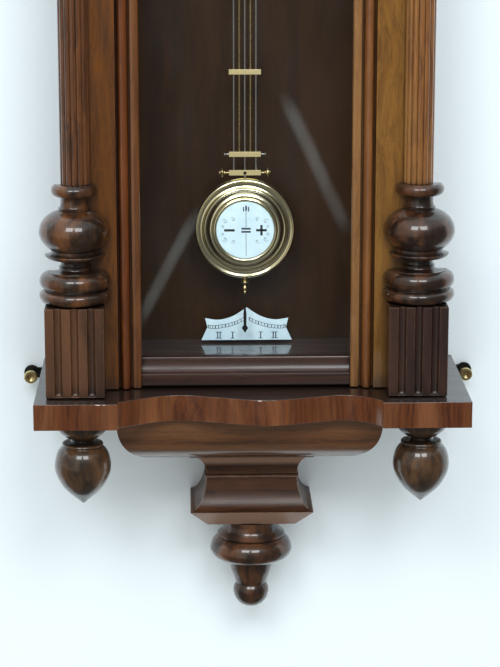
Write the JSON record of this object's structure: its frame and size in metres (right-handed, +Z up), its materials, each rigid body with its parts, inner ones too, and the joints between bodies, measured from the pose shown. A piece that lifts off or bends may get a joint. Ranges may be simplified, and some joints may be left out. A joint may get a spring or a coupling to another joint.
{
  "type": "wall clock",
  "caption": "Long wooden wall clock: arched glazed door between half columns, pendulum with a compensating rod over a beat scale, and a wheel train behind a round dial.",
  "frame": {"origin": "on the wall plane, on the case's centre line, level with the top of the base board", "axes": "+Z up, +Y into the wall, +X to the right as seen from the front"},
  "size_m": [0.441, 0.1778, 1.3207],
  "materials": {
    "walnut": "glossy polish",
    "walnut_light": "glossy polish",
    "veneer": "glossy polish",
    "dark_wood": "glossy polish",
    "brass": "polished",
    "steel": "satin",
    "blued_steel": "blued",
    "iron": "blackened",
    "enamel": "glossy enamel",
    "glass": "clear"
  },
  "bodies": {
    "case": {"backboard": "dark_wood", "side_panel_left": "walnut", "side_panel_right": "walnut", "floor_board": "dark_wood", "base_board": "veneer", "base_apron": "walnut", "corbel": "walnut", "bottom_finial": "walnut", "corner_drop_left": "dark_wood", "corner_drop_right": "dark_wood", "steady_strap": "iron", "cornice": "veneer", "crest": "walnut", "corner_finial_left": "dark_wood", "corner_finial_right": "dark_wood", "hinge_lower_case_leaf": "brass", "hinge_upper_case_leaf": "brass", "beat_scale": "enamel", "movement_bracket": "iron", "back_plate": "brass", "front_plate": "brass", "dial": "enamel", "dial_bezel": "brass"},
    "door": {"door_frame": "walnut_light", "door_moulding": "walnut", "door_bottom_rail": "walnut", "door_glass": "glass", "pedestal_left": "walnut", "pedestal_right": "walnut", "column_base_left": "walnut", "column_base_right": "walnut", "column_shaft_left": "walnut_light", "column_shaft_right": "walnut_light", "capital_left": "walnut", "capital_right": "walnut", "hinge_lower_door_leaf": "brass", "hinge_upper_door_leaf": "brass"},
    "latch": {"latch_hook": "brass"},
    "left_steady": {"steady_screw_left": "brass"},
    "right_steady": {"steady_screw_right": "brass"},
    "barrel": {"mainspring_barrel": "brass"},
    "winding": {"winding_arbor": "steel"},
    "ratchet_click": {"click": "steel"},
    "second_arbor": {"second_wheel": "brass"},
    "centre_arbor": {"centre_wheel": "brass", "minute_hand": "blued_steel"},
    "third_arbor": {"third_wheel": "brass"},
    "escape_arbor": {"escape_wheel": "brass"},
    "anchor": {"anchor_and_crutch": "steel"},
    "minute_work": {"minute_wheel": "brass"},
    "hour_work": {"hour_wheel": "brass", "hour_hand": "blued_steel"},
    "pendulum": {"suspension_spring": "steel", "pendulum_steel_frame": "steel", "pendulum_brass_frame": "brass", "pendulum_lower_bar": "brass", "pendulum_pointer": "steel"},
    "bob_assembly": {"bob": "brass", "bob_enamel": "enamel", "rating_nut": "brass"}
  },
  "joints": [
    {"name": "door_open", "type": "hinge", "parent": "case", "child": "door", "pos_m": [0.1545, -0.0992, 0.4], "axis": [0, 0, 1], "range_deg": [0, 110]},
    {"name": "latch_turn", "type": "hinge", "parent": "case", "child": "latch", "pos_m": [-0.1511, -0.084, 0.4], "axis": [-1, 0, 0], "range_deg": [0, 90]},
    {"name": "pendulum_swing", "type": "hinge", "parent": "case", "child": "pendulum", "pos_m": [0.001, -0.044, 0.698], "axis": [0, 1, 0], "range_deg": [-2.5, 2.5]},
    {"name": "anchor_rock", "type": "hinge", "parent": "case", "child": "anchor", "pos_m": [0.001, -0.058, 0.698], "axis": [0, 1, 0], "range_deg": [-2.5, 2.5]},
    {"name": "bob_height", "type": "slide", "parent": "pendulum", "child": "bob_assembly", "axis": [0, 0, 1], "range_m": [-0.004, 0.0015]},
    {"name": "minute_hand_turn", "type": "hinge", "parent": "case", "child": "centre_arbor", "pos_m": [0.001, -0.07, 0.653], "axis": [0, 1, 0], "continuous": true},
    {"name": "hour_hand_turn", "type": "hinge", "parent": "case", "child": "hour_work", "pos_m": [0.001, -0.086, 0.653], "axis": [0, 1, 0], "continuous": true},
    {"name": "minute_wheel_turn", "type": "hinge", "parent": "case", "child": "minute_work", "pos_m": [0.01479, -0.083, 0.66457], "axis": [0, 1, 0], "continuous": true},
    {"name": "third_wheel_turn", "type": "hinge", "parent": "case", "child": "third_arbor", "pos_m": [-0.01603, -0.06, 0.66628], "axis": [0, 1, 0], "continuous": true},
    {"name": "escape_wheel_turn", "type": "hinge", "parent": "case", "child": "escape_arbor", "pos_m": [0.001, -0.058, 0.674], "axis": [0, 1, 0], "continuous": true},
    {"name": "second_wheel_turn", "type": "hinge", "parent": "case", "child": "second_arbor", "pos_m": [0.01867, -0.06, 0.64247], "axis": [0, 1, 0], "continuous": true},
    {"name": "barrel_turn", "type": "hinge", "parent": "case", "child": "barrel", "pos_m": [0.001, -0.07, 0.615], "axis": [0, 1, 0], "continuous": true},
    {"name": "winding_turn", "type": "hinge", "parent": "case", "child": "winding", "pos_m": [0.001, -0.07, 0.615], "axis": [0, 1, 0], "continuous": true},
    {"name": "click_lift", "type": "hinge", "parent": "case", "child": "ratchet_click", "pos_m": [-0.014, -0.082, 0.607], "axis": [0, -1, 0], "range_deg": [0, 15], "stiffness_Nm_per_rad": 0.002, "springref_deg": -5.73},
    {"name": "left_steady_draw", "type": "slide", "parent": "case", "child": "left_steady", "axis": [0, -1, 0], "range_m": [0, 0.008]},
    {"name": "right_steady_draw", "type": "slide", "parent": "case", "child": "right_steady", "axis": [0, -1, 0], "range_m": [0, 0.008]}
  ],
  "couplings": [
    {"joint": "anchor_rock", "follows": "pendulum_swing", "ratio": 1},
    {"joint": "hour_hand_turn", "follows": "minute_hand_turn", "ratio": 0.083333},
    {"joint": "minute_wheel_turn", "follows": "minute_hand_turn", "ratio": -0.33333},
    {"joint": "third_wheel_turn", "follows": "minute_hand_turn", "ratio": -8},
    {"joint": "escape_wheel_turn", "follows": "minute_hand_turn", "ratio": 60},
    {"joint": "second_wheel_turn", "follows": "minute_hand_turn", "ratio": -0.14286},
    {"joint": "barrel_turn", "follows": "minute_hand_turn", "ratio": 0.02381}
  ]
}
